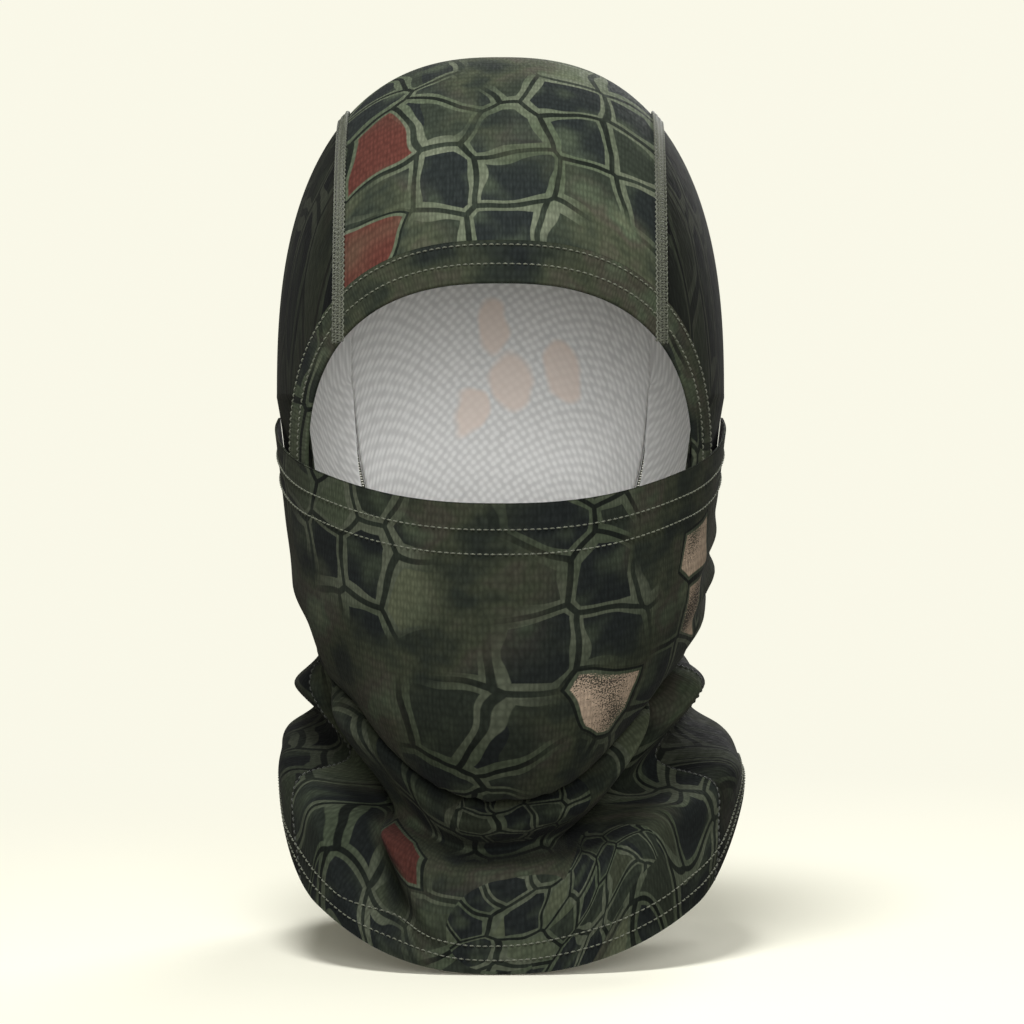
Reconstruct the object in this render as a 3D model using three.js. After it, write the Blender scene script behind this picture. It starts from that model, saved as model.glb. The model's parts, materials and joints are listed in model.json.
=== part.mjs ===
// A camouflage knit balaclava: a hood for the head, a face mask that pulls down off the nose, and a
// neck cowl that ends in a collar. Millimetres, +Z up, the face looks along -Y and the wearer's left
// is +X. The origin is on the middle plane, level with the ears, at the height the collar stands on.
//
// The cloth is four pattern pieces sewn edge to edge: a centre strip over the crown and down the
// nape, a left and a right side piece, and a front piece that is mask, throat and collar in one.
// Each is parted where the garment folds, so hood, mask and neck can move on each other.
import * as THREE from 'three';

const rad = THREE.MathUtils.degToRad;

// ---- driving dimensions ----
const CLOTH = 1.0;                 // thickness of one layer of knit
const TURNED_HEM = 1.8;            // a hem is the same cloth turned over and sewn down
const GAP = 0.4;                   // clearance between neighbouring pieces of cloth
const EAR_HEIGHT = 217;            // the sideways axis that hood and mask turn about
const HOOD_HALF_WIDTH = 85;
const HOOD_RADIUS = 102;           // from the ear axis to the brow, the back of the head and the nape
const CROWN_RISE = 29;             // how much further the crown is from the ear axis
const HOOD_ROUNDNESS = 2.5;        // superellipse exponent of the hood from side to side
const SEAM_X = 60;                 // the crown seams run front to back at this distance from the middle
const SEAM_WIDTH = 5.6;
const NECK_SEAM_GAP = rad(0.35);     // the neck's pieces stop this much short of each seam line
const HEM_GAP = 2.6;               // and this far above the collar's hem
const NAPE_ANGLE = 222;            // where the hood's centre strip ends, in degrees round the ear axis
const SIDE_SAG = 22;               // how far a side piece hangs below the line from cheek to nape

const FACE_BASE = 190;             // height at which the sides of the face opening turn into its arch
const FACE_HALF_WIDTH = 73;
const FACE_ARCH = 70;
const FACE_ROUNDNESS = 2.5;
const FACE_SKIRT = 23;             // the opening's sides run on below the arch, inside the mask
const FACE_HEM_RISE = 16.5;        // width of the face hem at the brow and, seen from the front, at the cheek
const FACE_HEM_SIDE = 8;

const MASK_HEM_FRONT = 178;        // top edge of the mask at the nose and at the ear
const MASK_HEM_EAR = 207;
const MASK_HEM_WIDTH = 20;
const MASK_SPLIT = 123;            // height at which the front piece folds between mask and throat
const MASK_REAR_SLOPE = 1.5;       // the mask's rear edge falls forward from the ear at this slope
const MASK_EASE = 2.0;             // at the jaw the mask is this much narrower each side than the neck
const MASK_EASE_FOOT = 143;        // heights between which that ease fades out
const MASK_EASE_TOP = 172;

const COLLAR_RISE = 66;            // the collar lies on the shoulders this much higher than in front
const COLLAR_FLAT = 3.5;           // the lowest part of the edge that is level, front and back
const COLLAR_HEM_WIDTH = 13.5;
const NECK_SIDE_TOP = 143;
const NECK_BACK_TOP = 192;
const NECK_ROUNDNESS = 2.6;        // superellipse exponent of the neck in plan
const SIDE_SEAM_TOP = 95;          // side seams, in degrees round the neck from the front
const SIDE_SEAM_FOOT = 57;
const BACK_SEAM_TOP = 146;
const BACK_SEAM_FOOT = 150;

const STITCH = 0.8;                // width of one row of stitching
const FACE_ROWS = [0.46, 0.90];    // the two rows across each hem, as shares of its width
const MASK_ROWS = [0.55, 0.94];
const COLLAR_ROWS = [0.50, 0.92];

// half widths of the neck cowl and mask by height, lowest first: [height, half width]
const SIDE_PROFILE = [[0, 90], [40, 90], [68, 91], [84, 87], [100, 80], [116, 78], [150, 80.5], [180, 86], [217, 92]];
const FRONT_PROFILE = [[0, 96], [30, 88], [62, 77], [80, 86], [104, 99], [130, 105], [152, 105], [180, 101], [217, 98]];
const BACK_PROFILE = [[0, 100], [50, 91], [90, 86], [120, 87], [150, 93.5], [175, 102.5], [217, 109.4]];

const green = new THREE.MeshStandardMaterial({ color: '#3a4338', roughness: 0.85, metalness: 0 });
const darkGreen = new THREE.MeshStandardMaterial({ color: '#2b332d', roughness: 0.85, metalness: 0 });
const hemGreen = new THREE.MeshStandardMaterial({ color: '#343d31', roughness: 0.85, metalness: 0 });
const threadOlive = new THREE.MeshStandardMaterial({ color: '#6f735c', roughness: 0.7, metalness: 0 });

const lerp = THREE.MathUtils.lerp;
const clamp = THREE.MathUtils.clamp;
const smoothstep = THREE.MathUtils.smoothstep;

// ---- cloth as a solid ----

// The direction square to surface(u, v), along du x dv.
function normalAt(surface, u, v) {
  const step = 1e-3;
  const alongU = surface(u + step, v).sub(surface(u - step, v));
  const alongV = surface(u, v + step).sub(surface(u, v - step));
  return alongU.cross(alongV).normalize();
}

function finish(geometry, name, material) {
  geometry.deleteAttribute('uv');
  geometry.computeVertexNormals();
  const mesh = new THREE.Mesh(geometry, material);
  mesh.name = name;
  return mesh;
}

// A closed sheet that follows surface(u, v), between two offsets from it.
function sheet(name, surface, inner, outer, columns, rows, material) {
  const geometry = new THREE.BoxGeometry(1, 1, 1, columns, rows, 1);
  const position = geometry.attributes.position;
  for (let i = 0; i < position.count; i += 1) {
    const u = position.getX(i) + 0.5;
    const v = position.getY(i) + 0.5;
    const offset = position.getZ(i) > 0 ? outer : inner;
    const point = surface(u, v).addScaledVector(normalAt(surface, u, v), offset);
    position.setXYZ(i, point.x, point.y, point.z);
  }
  return finish(geometry, name, material);
}

// A closed band round the neck, of four-sided section. edgePoint(turn, share, side) places its
// corners: turn goes round, share is 0 at its foot and 1 at its top, side is -1 inside and 1 outside.
function ring(name, edgePoint, segments, material) {
  const tube = 0.1;
  const geometry = new THREE.TorusGeometry(1, tube, 4, segments);
  const position = geometry.attributes.position;
  for (let i = 0; i < position.count; i += 1) {
    const x = position.getX(i);
    const y = position.getY(i);
    const outward = (Math.hypot(x, y) - 1) / tube;
    const upward = position.getZ(i) / tube;
    const share = outward - upward > 0 ? 0 : 1;
    const side = outward + upward > 0 ? 1 : -1;
    const point = edgePoint(Math.atan2(x, -y), share, side);
    position.setXYZ(i, point.x, point.y, point.z);
  }
  return finish(geometry, name, material);
}

// ---- the hood's surface ----

// Distance of the hood's middle line from the ear axis. The angle runs from the face (0) over the
// crown (90) to the back of the head (180) and the nape.
function hoodRadius(angle) {
  return HOOD_RADIUS + CROWN_RISE * Math.max(0, Math.sin(angle)) ** 2.4;
}

function hoodNarrowing(x) {
  return (1 - Math.abs(x / HOOD_HALF_WIDTH) ** HOOD_ROUNDNESS) ** (1 / HOOD_ROUNDNESS);
}

function hoodPoint(x, angle) {
  const radius = hoodRadius(angle) * hoodNarrowing(x);
  return new THREE.Vector3(x, -radius * Math.cos(angle), EAR_HEIGHT + radius * Math.sin(angle));
}

// The angle at which the front of the hood, at this x, has this height.
function hoodAngleAtHeight(x, height) {
  let low = rad(-80);
  let high = rad(80);
  for (let i = 0; i < 30; i += 1) {
    const middle = (low + high) / 2;
    if (hoodPoint(x, middle).z < height) low = middle;
    else high = middle;
  }
  return (low + high) / 2;
}

// The hood's side at a place given by its y and z; side is 1 for the wearer's left.
function hoodSidePoint(side, y, z) {
  const radius = Math.hypot(y, z - EAR_HEIGHT);
  const reach = radius / hoodRadius(Math.atan2(z - EAR_HEIGHT, -y));
  const x = HOOD_HALF_WIDTH * (1 - Math.min(reach, 1) ** HOOD_ROUNDNESS) ** (1 / HOOD_ROUNDNESS);
  return new THREE.Vector3(side * x, y, z);
}

// A point of the face hem. along runs from 0 at the foot on the wearer's right, over the brow, to 1
// at the foot on the left; across runs from 0 at the opening's edge to 1 at the hem's outer edge.
function faceHemPoint(along, across) {
  const skirtShare = 0.12;
  const halfWidth = FACE_HALF_WIDTH + FACE_HEM_SIDE * across;
  const arch = FACE_ARCH + FACE_HEM_RISE * across;
  const fromEnd = Math.min(along, 1 - along);
  const side = along < 0.5 ? -1 : 1;
  let x = halfWidth;
  let z = FACE_BASE - FACE_SKIRT * (1 - fromEnd / skirtShare);
  if (fromEnd > skirtShare) {
    const turn = ((fromEnd - skirtShare) / (0.5 - skirtShare)) * (Math.PI / 2);
    x = halfWidth * Math.max(0, Math.cos(turn)) ** (2 / FACE_ROUNDNESS);
    z = FACE_BASE + arch * Math.sin(turn) ** (2 / FACE_ROUNDNESS);
  }
  return hoodPoint(side * x, hoodAngleAtHeight(x, z));
}

// Height of the face hem's outer edge over the brow, a given distance from the middle.
function browHeight(x, margin) {
  const halfWidth = FACE_HALF_WIDTH + FACE_HEM_SIDE;
  const share = 1 - Math.abs(x / halfWidth) ** FACE_ROUNDNESS;
  return FACE_BASE + (FACE_ARCH + FACE_HEM_RISE) * share ** (1 / FACE_ROUNDNESS) + margin;
}

// ---- the surface of mask and neck ----

// A profile through [height, half width] pairs, read by height.
function profileReader(pairs) {
  const curve = new THREE.SplineCurve(pairs.map(([height, half]) => new THREE.Vector2(height, half)));
  const samples = curve.getPoints(240);
  return (height) => {
    let i = 1;
    while (i < samples.length - 1 && samples[i].x < height) i += 1;
    const from = samples[i - 1];
    const to = samples[i];
    return lerp(from.y, to.y, (height - from.x) / (to.x - from.x));
  };
}

const halfWidthAt = profileReader(SIDE_PROFILE);
const frontAt = profileReader(FRONT_PROFILE);
const backAt = profileReader(BACK_PROFILE);

// A point on the neck or mask. turn is the angle round the neck: 0 in front, positive to the left.
function neckPoint(turn, height) {
  const power = 2 / NECK_ROUNDNESS;
  const sine = Math.sin(turn);
  const cosine = Math.cos(turn);
  const depth = cosine > 0 ? -frontAt(height) : backAt(height);
  const x = halfWidthAt(height) * Math.sign(sine) * Math.abs(sine) ** power;
  return new THREE.Vector3(x, depth * Math.abs(cosine) ** power, height);
}

// Bare height of the collar's edge round the neck.
function collarEdge(turn) {
  const level = Math.sqrt(Math.cos(turn) ** 2 + 0.01);
  return Math.max(0, COLLAR_RISE * (1 - level) - COLLAR_FLAT);
}

function maskHemEdge(turn) {
  return lerp(MASK_HEM_EAR, MASK_HEM_FRONT, Math.abs(Math.cos(turn)));
}

// Top edge of the neck: under the mask in front, behind the mask's rear edge at the jaw, and up
// over the nape at the back.
function neckTop(turn) {
  const reach = Math.abs(turn);
  if (reach < Math.PI / 2) {
    const jaw = neckPoint(reach, MASK_SPLIT).y;
    const behindMask = EAR_HEIGHT + MASK_REAR_SLOPE * jaw - 7 * GAP;
    return clamp(behindMask, MASK_SPLIT - 5 * GAP, NECK_SIDE_TOP);
  }
  return lerp(NECK_SIDE_TOP, NECK_BACK_TOP, smoothstep(reach, rad(98), rad(128)));
}

// A point of the neck by turn and by share of the way down from its top edge to the collar hem.
function neckCloth(turn, down) {
  const foot = collarEdge(turn) + COLLAR_HEM_WIDTH + HEM_GAP;
  return neckPoint(turn, lerp(neckTop(turn), foot, down));
}

const sideSeamTurn = (down) => rad(lerp(SIDE_SEAM_TOP, SIDE_SEAM_FOOT, down));
const backSeamTurn = (down) => rad(lerp(BACK_SEAM_TOP, BACK_SEAM_FOOT, down));

// ---- hood pieces ----

function crownPanel() {
  const halfWidth = SEAM_X - GAP / 2;
  const surface = (u, v) => {
    const x = lerp(-halfWidth, halfWidth, u);
    const front = hoodAngleAtHeight(x, browHeight(x, GAP));
    return hoodPoint(x, lerp(front, rad(NAPE_ANGLE), v));
  };
  return sheet('crown_panel', surface, -CLOTH / 2, CLOTH / 2, 12, 26, green);
}

// A side piece fills the outline between the face hem, the crown seam and its own lower edge.
function sidePanel(name, side) {
  const seamX = SEAM_X + GAP / 2;
  const flat = (point) => new THREE.Vector2(point.y, point.z);
  const hemEdge = (v) => {
    const archTurn = Math.acos((seamX / (FACE_HALF_WIDTH + FACE_HEM_SIDE)) ** (FACE_ROUNDNESS / 2));
    const along = lerp(0, 0.12 + (0.38 * archTurn) / (Math.PI / 2), v);
    const point = faceHemPoint(along, 1);
    const clear = (4 * GAP) / Math.hypot(point.y, point.z - EAR_HEIGHT);
    return flat(point).sub(new THREE.Vector2(0, EAR_HEIGHT)).multiplyScalar(1 - clear)
      .add(new THREE.Vector2(0, EAR_HEIGHT));
  };
  const topFront = hoodAngleAtHeight(seamX, browHeight(seamX, 0));
  const seamEdge = (u) => flat(hoodPoint(seamX, lerp(topFront, rad(NAPE_ANGLE - 6), u)));
  const napeEdge = (v) => flat(hoodPoint(seamX, rad(NAPE_ANGLE - 6 * v)));
  const footFront = hemEdge(0);
  const footBack = napeEdge(0);
  const footEdge = (u) => {
    const sag = SIDE_SAG * 4 * u * (1 - u);
    return footFront.clone().lerp(footBack, u).sub(new THREE.Vector2(0, sag));
  };
  const corners = [footFront, footBack, hemEdge(1), seamEdge(1)];
  const surface = (across, v) => {
    const u = side > 0 ? across : 1 - across;
    const between = footEdge(u).multiplyScalar(1 - v).addScaledVector(seamEdge(u), v);
    between.addScaledVector(hemEdge(v), 1 - u).addScaledVector(napeEdge(v), u);
    between.addScaledVector(corners[0], -(1 - u) * (1 - v)).addScaledVector(corners[1], -u * (1 - v));
    between.addScaledVector(corners[2], -(1 - u) * v).addScaledVector(corners[3], -u * v);
    return hoodSidePoint(side, between.x, between.y);
  };
  return sheet(name, surface, -CLOTH / 2, CLOTH / 2, 18, 12, darkGreen);
}

function faceHem() {
  const surface = (u, v) => faceHemPoint(u, v);
  return sheet('face_opening_hem', surface, -TURNED_HEM / 2, TURNED_HEM / 2, 44, 2, hemGreen);
}

function faceStitchRow(name, share) {
  const halfShare = STITCH / 2 / FACE_HEM_RISE;
  const surface = (u, v) => faceHemPoint(u, lerp(share - halfShare, share + halfShare, v));
  const inner = TURNED_HEM / 2 + GAP;
  return sheet(name, surface, inner, inner + STITCH / 2, 44, 1, threadOlive);
}

// A flat seam covers the joint between the crown and a side, from the face hem to the nape.
function crownSeam(name, side) {
  const front = hoodAngleAtHeight(SEAM_X, browHeight(SEAM_X, -FACE_HEM_RISE + 2));
  const surface = (u, v) => {
    const x = side * SEAM_X + lerp(-SEAM_WIDTH / 2, SEAM_WIDTH / 2, u);
    return hoodPoint(x, lerp(front, rad(NAPE_ANGLE), v));
  };
  const inner = TURNED_HEM / 2 + 2 * GAP + STITCH / 2;
  return sheet(name, surface, inner, inner + STITCH, 1, 30, threadOlive);
}

// ---- mask pieces ----

// A point of the mask. u crosses it from the rear edge on the wearer's right to that on the left.
function maskPoint(u, heightAt) {
  let turn = rad(lerp(-75, 75, u));
  let height = heightAt(turn);
  for (let i = 0; i < 12; i += 1) {
    const rearY = (EAR_HEIGHT - height) / MASK_REAR_SLOPE;
    const rearTurn = Math.acos((rearY / frontAt(height)) ** (NECK_ROUNDNESS / 2));
    turn = lerp(-rearTurn, rearTurn, u);
    height = heightAt(turn);
  }
  const point = neckPoint(turn, height);
  const ease = MASK_EASE * (1 - smoothstep(height, MASK_EASE_FOOT, MASK_EASE_TOP));
  point.x *= 1 - ease / halfWidthAt(height);
  return point;
}

function maskPanel() {
  const surface = (u, v) => maskPoint(u, (turn) => {
    const top = maskHemEdge(turn) - MASK_HEM_WIDTH - GAP;
    return lerp(MASK_SPLIT, top, v);
  });
  return sheet('mask_panel', surface, -CLOTH / 2, CLOTH / 2, 30, 6, green);
}

function maskHem() {
  const surface = (u, v) => maskPoint(u, (turn) => maskHemEdge(turn) - MASK_HEM_WIDTH * (1 - v));
  return sheet('mask_top_hem', surface, -TURNED_HEM / 2, TURNED_HEM / 2, 36, 2, hemGreen);
}

function maskStitchRow(name, share) {
  const surface = (u, v) => maskPoint(u, (turn) => {
    const middle = maskHemEdge(turn) - MASK_HEM_WIDTH * share;
    return middle + lerp(-STITCH / 2, STITCH / 2, v);
  });
  const inner = TURNED_HEM / 2 + GAP;
  return sheet(name, surface, inner, inner + STITCH / 2, 36, 1, threadOlive);
}

// ---- neck pieces ----

function throatPanel() {
  const surface = (u, v) => {
    const down = 1 - v;
    const edge = sideSeamTurn(down) - NECK_SEAM_GAP;
    return neckCloth(lerp(-edge, edge, u), down);
  };
  return sheet('throat_panel', surface, -CLOTH / 2, CLOTH / 2, 26, 16, green);
}

function neckSidePanel(name, side) {
  const surface = (across, v) => {
    const u = side > 0 ? across : 1 - across;
    const down = 1 - v;
    const turn = lerp(sideSeamTurn(down) + NECK_SEAM_GAP, backSeamTurn(down) - NECK_SEAM_GAP, u);
    return neckCloth(side * turn, down);
  };
  return sheet(name, surface, -CLOTH / 2, CLOTH / 2, 10, 14, darkGreen);
}

function backPanel() {
  const surface = (u, v) => {
    const down = 1 - v;
    const edge = backSeamTurn(down) + NECK_SEAM_GAP;
    return neckCloth(lerp(edge, 2 * Math.PI - edge, u), down);
  };
  return sheet('back_panel', surface, -CLOTH / 2, CLOTH / 2, 10, 14, green);
}

// A narrow strip that covers the joint between two neck pieces.
function neckSeam(name, side, seamTurn, inner, outer) {
  const surface = (u, v) => {
    const down = 1 - v;
    const place = neckCloth(side * seamTurn(down), down);
    const sweep = SEAM_WIDTH / Math.hypot(place.x, place.y);
    return neckCloth(side * seamTurn(down) + lerp(-sweep / 2, sweep / 2, u), down);
  };
  return sheet(name, surface, inner, outer, 1, 20, threadOlive);
}

// A band round the collar between two heights above its edge, and two offsets from the cloth.
function collarBand(name, foot, top, inner, outer, material) {
  const edgePoint = (turn, share, side) => {
    const height = collarEdge(turn) + lerp(foot, top, share);
    const point = neckPoint(turn, height);
    const ahead = neckPoint(turn + 1e-3, height).sub(neckPoint(turn - 1e-3, height));
    const outward = new THREE.Vector3(ahead.y, -ahead.x, 0).normalize().negate();
    if (outward.dot(point) < 0) outward.negate();
    return point.addScaledVector(outward, side > 0 ? outer : inner);
  };
  return ring(name, edgePoint, 72, material);
}

function collarStitchRow(name, share) {
  const middle = COLLAR_HEM_WIDTH * share;
  const inner = TURNED_HEM / 2 + GAP;
  return collarBand(name, middle - STITCH / 2, middle + STITCH / 2, inner, inner + STITCH / 2, threadOlive);
}

// ---- the garment ----

const onShell = CLOTH / 2 + GAP;

const hood = new THREE.Group();
hood.add(
  crownPanel(),
  sidePanel('left_side_panel', 1),
  sidePanel('right_side_panel', -1),
  faceHem(),
  faceStitchRow('face_hem_stitch_inner', FACE_ROWS[0]),
  faceStitchRow('face_hem_stitch_outer', FACE_ROWS[1]),
  crownSeam('left_crown_seam', 1),
  crownSeam('right_crown_seam', -1),
);

const mask = new THREE.Group();
mask.add(
  maskPanel(),
  maskHem(),
  maskStitchRow('mask_hem_stitch_upper', MASK_ROWS[0]),
  maskStitchRow('mask_hem_stitch_lower', MASK_ROWS[1]),
);

const neck = new THREE.Group();
neck.add(
  throatPanel(),
  neckSidePanel('left_neck_panel', 1),
  neckSidePanel('right_neck_panel', -1),
  backPanel(),
  collarBand('collar_hem', 0, COLLAR_HEM_WIDTH, -TURNED_HEM / 2, TURNED_HEM / 2, hemGreen),
  collarStitchRow('collar_hem_stitch_upper', COLLAR_ROWS[1]),
  collarStitchRow('collar_hem_stitch_lower', COLLAR_ROWS[0]),
  neckSeam('left_side_seam', 1, sideSeamTurn, onShell, onShell + STITCH),
  neckSeam('right_side_seam', -1, sideSeamTurn, onShell, onShell + STITCH),
  neckSeam('left_back_seam', 1, backSeamTurn, onShell, onShell + STITCH),
  neckSeam('right_back_seam', -1, backSeamTurn, onShell, onShell + STITCH),
);

const balaclava = new THREE.Group();
balaclava.add(hood, mask, neck);

export default balaclava;
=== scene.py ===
"""The looks of a camouflage knit balaclava: cloth, hems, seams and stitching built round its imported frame."""
import json
import math

import bpy
import numpy as np
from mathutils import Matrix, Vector


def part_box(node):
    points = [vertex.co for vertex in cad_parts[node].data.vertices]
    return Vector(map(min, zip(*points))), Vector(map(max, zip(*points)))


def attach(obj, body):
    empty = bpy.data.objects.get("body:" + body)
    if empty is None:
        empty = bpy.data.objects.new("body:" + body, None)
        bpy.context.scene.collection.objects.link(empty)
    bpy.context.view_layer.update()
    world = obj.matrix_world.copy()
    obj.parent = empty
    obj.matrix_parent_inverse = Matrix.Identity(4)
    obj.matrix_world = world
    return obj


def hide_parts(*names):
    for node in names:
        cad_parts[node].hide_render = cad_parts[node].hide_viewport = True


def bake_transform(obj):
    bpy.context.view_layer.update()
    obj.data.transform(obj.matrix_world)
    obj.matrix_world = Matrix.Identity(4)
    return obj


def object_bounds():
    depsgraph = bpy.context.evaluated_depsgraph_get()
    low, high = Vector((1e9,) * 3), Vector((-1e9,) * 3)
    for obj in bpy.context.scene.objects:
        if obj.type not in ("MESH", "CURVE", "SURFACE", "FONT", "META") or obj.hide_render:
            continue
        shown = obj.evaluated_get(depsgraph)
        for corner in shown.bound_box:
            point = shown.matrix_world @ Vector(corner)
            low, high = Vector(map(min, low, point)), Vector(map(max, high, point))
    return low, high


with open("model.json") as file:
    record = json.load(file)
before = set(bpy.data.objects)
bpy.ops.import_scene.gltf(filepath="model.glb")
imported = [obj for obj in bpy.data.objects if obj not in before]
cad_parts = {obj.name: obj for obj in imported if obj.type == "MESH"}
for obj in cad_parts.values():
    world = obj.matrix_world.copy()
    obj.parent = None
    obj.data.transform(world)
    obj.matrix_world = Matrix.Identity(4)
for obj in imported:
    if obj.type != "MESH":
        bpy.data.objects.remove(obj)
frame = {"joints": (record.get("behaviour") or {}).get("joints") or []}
cad_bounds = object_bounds()

# ---- places and sizes, in millimetres, worked out from the frame ----

MM = 0.001


def box_mm(node):
    """Lowest and highest corner of a CAD node, in millimetres."""
    low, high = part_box(node)
    return np.array(low) / MM, np.array(high) / MM


EAR = frame["joints"][0]["pos_m"][2] / MM          # height of the axis that hood and mask turn about
CROWN_TOP = box_mm("crown_panel")[1][2]
HOOD_WIDE = box_mm("left_side_panel")[1][0] + 2.0   # half width of the hood
HOOD_DEEP = box_mm("crown_panel")[1][1]             # from the ear axis to the back of the head
SEAM_X = box_mm("left_crown_seam")[0][0] + 2.0      # distance of the crown seams from the middle
COLLAR_WIDE = box_mm("collar_hem")[1][0] - 0.5      # half width, and front and back reach, of the collar
COLLAR_FRONT = -box_mm("collar_hem")[0][1]
MASK_EAR = box_mm("mask_top_hem")[1][2]             # height of the mask's edge at the ears
MASK_NOSE = MASK_EAR - 28.0                         # and over the nose
HOOD_POWER = 2.5                                    # superellipse power of hood and collar
PLAN = 2.0 / HOOD_POWER

FACE_BASE = box_mm("face_opening_hem")[0][2] + 23.5  # where the opening's straight sides meet its arch
FACE_WIDE = 73.0                                    # half width of the face opening
FACE_ARCH = 70.0                                    # rise of its arch
FACE_SKIRT = 36.0                                   # drop of the hem's two ends, inside the mask
SKIRT_SHARE = 0.12                                  # share of the hem's length in each of those ends
FACE_HEM = 17.5                                     # width of the hem
HEM_UNDER = 9.0                                     # width of its part that is turned under
HEM_SPREAD = 7.5                                    # the hem's outer edge is this much wider than the opening
HEM_RISE = 16.5                                     # and this much higher
UNDER_HEM = 9.0                                     # the hood's cloth ends this far out, under the hem
CLOTH = 0.8                                         # thickness of the knit
SEAM_WIDE = 5.4                                     # width of the flat seams
SEAM_LAP = 0.8                                      # the centre strip laps the sides this much, under a seam
STITCH_PITCH = 2.5                                  # from one stitch to the next
STITCH_LONG = 1.9                                   # length of a stitch
FACE_ROWS = (8.0, 15.6)                             # stitch rows, from the face opening's edge
MASK_ROWS = (11.0, 19.0)                            # from the mask's edge
COLLAR_ROWS = (7.0, 12.2)                           # from the collar's edge
MASK_STATION = 20.0                                 # cloth between two stations at the mask's edge
COLLAR_STATION = 17.5                               # and at the collar's
ARC = 1.6                                           # cloth round the neck for each degree of turn
FRONT_PRINT = 1.62                                  # print across the front for each degree of turn
HOOD_JOIN = 0.962                                   # reach of the neck where it meets the hood
THREAD = 0.28                                       # radius of the stitching's thread
SEAM_THREAD = 0.36                                  # and of the flat seams'
SEAM_PITCH = 2.1                                    # along a flat seam, from one crossing to the next
OVER_HOOD = 0.6                                     # share of a crown seam's run that is over the hood


# ---- smooth interpolation and folds ----

def smooth(t):
    t = np.clip(t, 0.0, 1.0)
    return t * t * (3 - 2 * t)


def ramp(value, start, end):
    return smooth((value - start) / (end - start))


def bump(value, centre, reach):
    """1 at the centre, falling smoothly to 0 at the reach."""
    return smooth(1 - np.abs(value - centre) / reach)


def weights(t):
    """Shares of four neighbouring values in a smooth curve, at t between the middle two."""
    return (0.5 * (-t + 2 * t ** 2 - t ** 3), 0.5 * (2 - 5 * t ** 2 + 3 * t ** 3),
            0.5 * (t + 4 * t ** 2 - 3 * t ** 3), 0.5 * (-t ** 2 + t ** 3))


def ripple(u, v, wavelength, seed):
    """A soft uneven ripple of about unit height over two lengths in millimetres."""
    rng = np.random.default_rng(seed)
    total = np.zeros(np.broadcast(u, v).shape)
    for _ in range(7):
        angle = rng.uniform(0, 2 * math.pi)
        wave = wavelength * rng.uniform(0.6, 1.6)
        phase = rng.uniform(0, 2 * math.pi)
        total += np.sin((u * math.cos(angle) + v * math.sin(angle)) * 2 * math.pi / wave + phase)
    return total / 3.0


# ---- the hood ----

def hood_radius(angle):
    """Distance of the hood's middle line from the ear axis; angle 0 is the face, 90 the crown."""
    rise = np.maximum(0.0, np.sin(angle))
    return HOOD_DEEP - 0.5 + (CROWN_TOP - EAR - HOOD_DEEP) * rise ** 2.4


def narrowing(x):
    return np.maximum(1e-6, 1 - np.abs(x / HOOD_WIDE) ** HOOD_POWER) ** (1 / HOOD_POWER)


def hood_point(x, angle):
    radius = hood_radius(angle) * narrowing(x)
    return np.stack([x, -radius * np.cos(angle), EAR + radius * np.sin(angle)], -1)


def hood_front_angle(x, height):
    """Angle at which the hood's front, at this x, has this height."""
    low = np.full(np.shape(x), math.radians(-80.0))
    high = np.full(np.shape(x), math.radians(80.0))
    for _ in range(30):
        middle = (low + high) / 2
        below = hood_point(x, middle)[..., 2] < height
        low = np.where(below, middle, low)
        high = np.where(below, high, middle)
    return (low + high) / 2


def hood_side(side, y, z):
    """The hood's side over a place given by y and z."""
    reach = np.hypot(y, z - EAR) / hood_radius(np.arctan2(z - EAR, -y))
    x = HOOD_WIDE * (1 - np.clip(reach, 0, 1) ** HOOD_POWER) ** (1 / HOOD_POWER)
    return np.stack([side * x, y, z], -1)


def face_edge(along, across):
    """A point of the face hem: along 0..1 from foot to foot over the brow, across in mm from the edge."""
    from_end = np.minimum(along, 1 - along)
    side = np.where(along < 0.5, -1.0, 1.0)
    turn = np.clip((from_end - SKIRT_SHARE) / (0.5 - SKIRT_SHARE), 0, 1) * math.pi / 2
    share = across / FACE_HEM
    x = (FACE_WIDE + HEM_SPREAD * share) * np.cos(turn).clip(0) ** PLAN
    z = FACE_BASE + (FACE_ARCH + HEM_RISE * share) * np.sin(turn) ** PLAN
    point = hood_point(side * x, hood_front_angle(x, z))
    below = 1 - np.clip(from_end / SKIRT_SHARE, 0, 1)
    point[..., 0] -= side * 8.0 * below ** 1.5
    point[..., 1] += 12.0 * below
    point[..., 2] -= FACE_SKIRT * below
    return point


def brow_height(x, above):
    """Height of the face opening's arch at x, this far above its edge."""
    share = np.clip(x / (FACE_WIDE + 0.43 * above), 0, 1)
    return FACE_BASE + (FACE_ARCH + 0.94 * above) * (1 - share ** HOOD_POWER) ** (1 / HOOD_POWER)


# ---- mask, throat, neck and collar: one surface of stations ----

# Each station is a level of the cloth from the mask's edge to the collar's edge. A profile gives, for
# each station, its reach as a share of the collar's and its height. Profiles stand at five turns.
TURNS = [0, 50, 95, 140, 180]
FRONT = [(1.020, MASK_NOSE), (1.050, 158), (1.073, 138), (1.085, 112), (1.040, 86), (0.900, 65), (0.700, 73),
         (0.740, 65), (0.830, 55), (0.770, 44), (0.880, 35), (0.960, 16), (1.0, 0)]
CHEEK = [(0.985, 190), (0.990, 171), (0.990, 151), (0.970, 131), (0.905, 114), (0.770, 104), (0.600, 110),
         (0.730, 108), (0.900, 97), (0.640, 66), (0.960, 60), (1.000, 42), (1.0, 24)]
SIDE = [(0.965, MASK_EAR), (0.930, 187), (0.885, 168), (0.860, 151), (0.830, 137), (0.790, 125), (0.745, 118),
        (0.790, 113), (0.865, 103), (0.800, 93), (0.940, 85), (0.985, 76), (1.0, 66)]
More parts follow.
